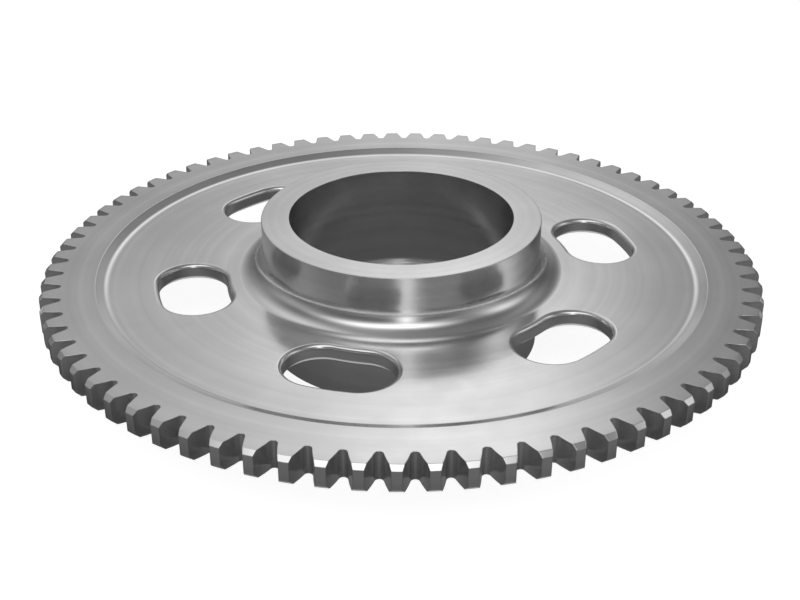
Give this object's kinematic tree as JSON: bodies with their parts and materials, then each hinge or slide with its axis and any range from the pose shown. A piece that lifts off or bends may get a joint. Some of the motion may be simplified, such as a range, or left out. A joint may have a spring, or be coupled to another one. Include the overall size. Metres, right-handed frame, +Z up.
{
  "type": "idler gear",
  "caption": "Spur gear with a thin toothed rim, a recessed web with kidney-shaped lightening slots, and a plain hub standing out on both sides round a stepped bearing bore.",
  "frame": {"origin": "on the axis of the bore, in the plane of the hub's lower face", "axes": "+Z up along the bore, from the lipped end to the open end of the bearing seat; +X through the middle of one slot and one tooth"},
  "size_m": [0.154, 0.154, 0.0286],
  "materials": {
    "steel": "machined, satin to bright"
  },
  "bodies": {
    "root": {"idler_gear": "steel"}
  },
  "joints": []
}
